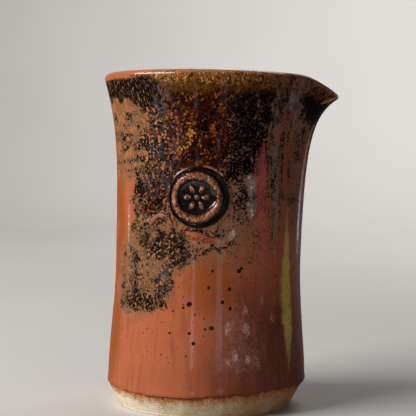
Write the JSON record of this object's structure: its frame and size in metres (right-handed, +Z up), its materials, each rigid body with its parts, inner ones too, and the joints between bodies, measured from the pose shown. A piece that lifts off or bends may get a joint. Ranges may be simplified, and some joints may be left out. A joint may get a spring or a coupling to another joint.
{
  "type": "stoneware pouring jug",
  "caption": "Handleless stoneware pouring jug: waisted thrown wall flaring to a rim with a pulled lip, bare bevelled foot, glazed inside and out, stamped rosette seal on one flank.",
  "frame": {"origin": "middle of the foot, on the table", "axes": "+Z up, +X towards the pouring lip, -Y towards the flank with the seal"},
  "size_m": [0.0966, 0.0878, 0.135],
  "materials": {
    "stoneware": "bare buff stoneware with fine grog, toasted orange along the glaze line",
    "seal_clay": "clay under a thin coat of glaze that breaks to rust brown on its crests",
    "pooled_glass": "thick glossy black glaze",
    "outer_glaze": "satin to glossy iron glaze, rust red below, black and amber speckle above",
    "liner_glaze": "glossy dark brown iron glaze"
  },
  "bodies": {
    "root": {"stoneware_body": "stoneware", "seal_pellet": "seal_clay", "seal_pool": "pooled_glass", "outer_glaze": "outer_glaze", "liner_glaze": "liner_glaze"}
  },
  "joints": []
}
